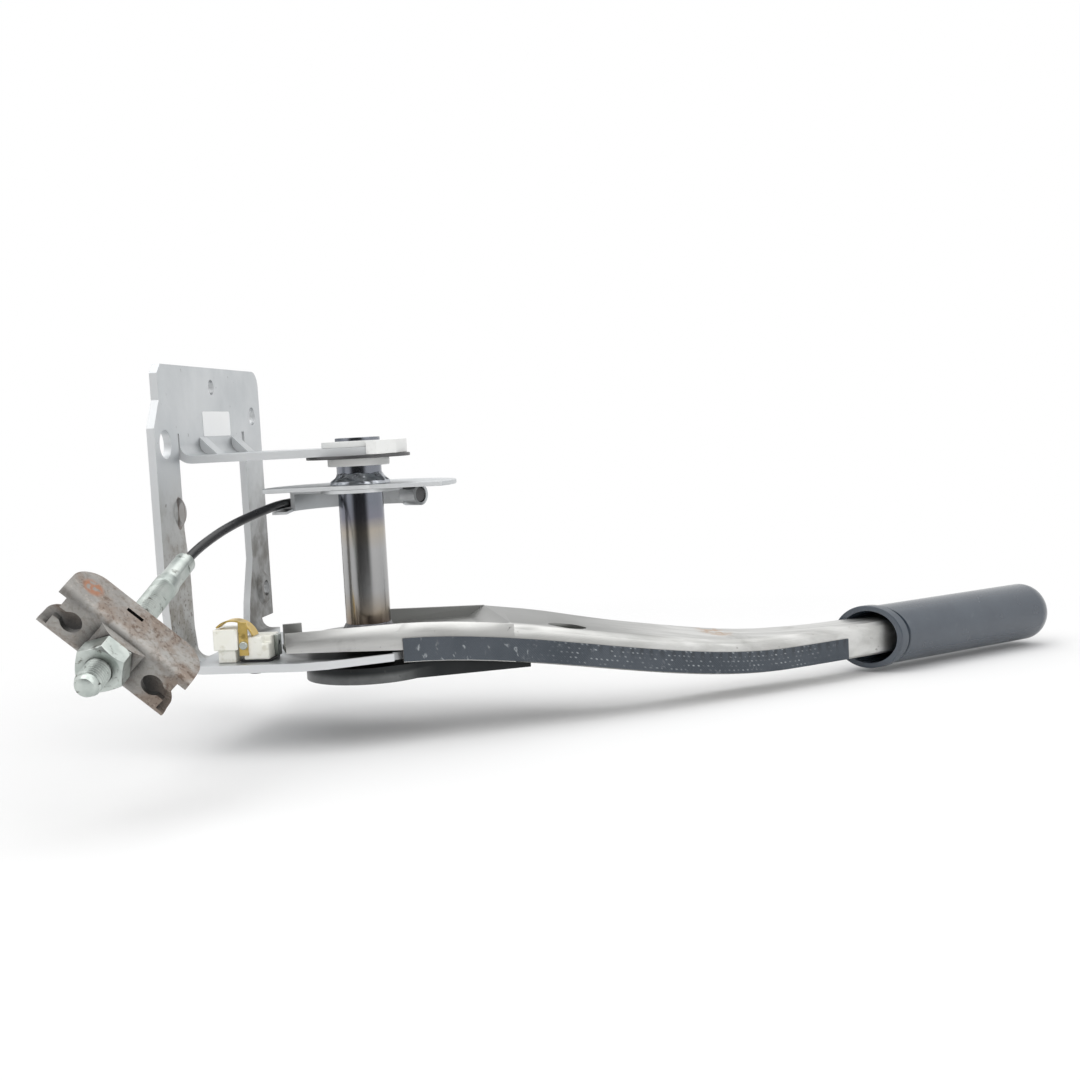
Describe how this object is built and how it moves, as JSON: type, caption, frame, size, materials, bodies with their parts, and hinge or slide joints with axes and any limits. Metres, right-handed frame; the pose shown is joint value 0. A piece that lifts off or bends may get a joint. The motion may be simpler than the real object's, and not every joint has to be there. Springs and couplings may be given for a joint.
{
  "type": "parking brake lever",
  "caption": "Pulled-up parking brake hand lever on a bent sheet bracket, with ratchet and pawl, push-button grip, cable sector, lamp switch and a threaded adjuster with its equalizer.",
  "frame": {"origin": "centre of the main bolt hole on the rear (mounting) face of the bracket's back plate", "axes": "+X out of the mounting face, across the pivot towards the grip; +Y away from the cable's pull; +Z along the pivot axis, towards the cable sector"},
  "size_m": [0.4151, 0.3695, 0.1674],
  "materials": {
    "zinc_sheet": "satin zinc plating, worn, with rust at the feet",
    "lever_steel": "zinc plated pressing with light wear",
    "tinted_steel": "bright tube with heat tint beside the welds",
    "bright_steel": "zinc plated, semi-gloss",
    "dark_sheet": "dark phosphated sheet",
    "weld": "weld bead, dark blue-grey",
    "rusty_steel": "zinc plating worn through to brown rust",
    "nylon": "natural white nylon",
    "cream_plastic": "off-white moulded",
    "black_plastic": "black moulded",
    "brass": "spring brass strip",
    "label": "blank paper label",
    "cable": "black coated wire cable",
    "tape": "dark blue-grey woven protective tape",
    "grip": "dark blue-grey, smooth satin",
    "button": "dark, satin"
  },
  "bodies": {
    "bracket": {"mounting_bracket": "zinc_sheet", "upper_bush": "nylon", "bush_cap": "nylon", "retaining_plate": "dark_sheet", "lower_bush": "nylon", "label": "label", "switch_base": "black_plastic", "switch_block_left": "cream_plastic", "switch_block_right": "cream_plastic", "contact_leaf": "brass", "contact_rivet": "bright_steel", "switch_terminal": "bright_steel", "switch_rivet": "black_plastic"},
    "lever": {"cross_tube": "tinted_steel", "sector_weld": "weld", "shell_weld": "weld", "sector_plate": "zinc_sheet", "groove_guide": "zinc_sheet", "cable_nipple": "dark_sheet", "cable_wrapped": "cable", "lever_shell": "lever_steel", "lever_arm": "lever_steel", "lever_side_plate": "dark_sheet", "pawl_pin": "bright_steel", "lever_tape": "tape", "grip": "grip", "spring_seat": "black_plastic", "button_spring": "bright_steel"},
    "button": {"release_button": "button", "release_rod": "bright_steel"},
    "pawl": {"pawl": "dark_sheet"},
    "cable_end": {"cable_free": "cable", "crimp_sleeve": "bright_steel", "threaded_rod": "bright_steel"},
    "nut": {"adjuster_nut": "bright_steel"},
    "equalizer": {"equalizer": "rusty_steel"}
  },
  "joints": [
    {"name": "lever_release", "type": "hinge", "parent": "bracket", "child": "lever", "pos_m": [0.0785, 0.0345, -0.095], "axis": [0, 0, 1], "range_deg": [0, 40]},
    {"name": "button_press", "type": "slide", "parent": "lever", "child": "button", "axis": [-0.7705, -0.6374, 0], "range_m": [0, 0.003], "stiffness_N_per_m": 600, "deforming": ["button_spring"]},
    {"name": "pawl_lift", "type": "hinge", "parent": "lever", "child": "pawl", "pos_m": [0.1254, 0.04225, -0.095], "axis": [0, 0, -1], "range_deg": [0, 17]},
    {"name": "cable_pull", "type": "hinge", "parent": "lever", "child": "cable_end", "pos_m": [0.0433, 0.0407, -0.0293], "axis": [0, 0, -1], "range_deg": [0, 40], "deforming": ["cable_free"]},
    {"name": "nut_turn", "type": "hinge", "parent": "cable_end", "child": "nut", "pos_m": [0.022, -0.09579, -0.07001], "axis": [0, -0.9438, -0.3305], "continuous": true},
    {"name": "equalizer_rock", "type": "hinge", "parent": "cable_end", "child": "equalizer", "pos_m": [0.022, -0.09579, -0.07001], "axis": [0.7314, -0.2254, 0.6437], "range_deg": [-8, 8]}
  ],
  "couplings": [
    {"joint": "pawl_lift", "follows": "button_press", "rad_per_m": 93.084},
    {"joint": "cable_pull", "follows": "lever_release", "ratio": 1}
  ]
}
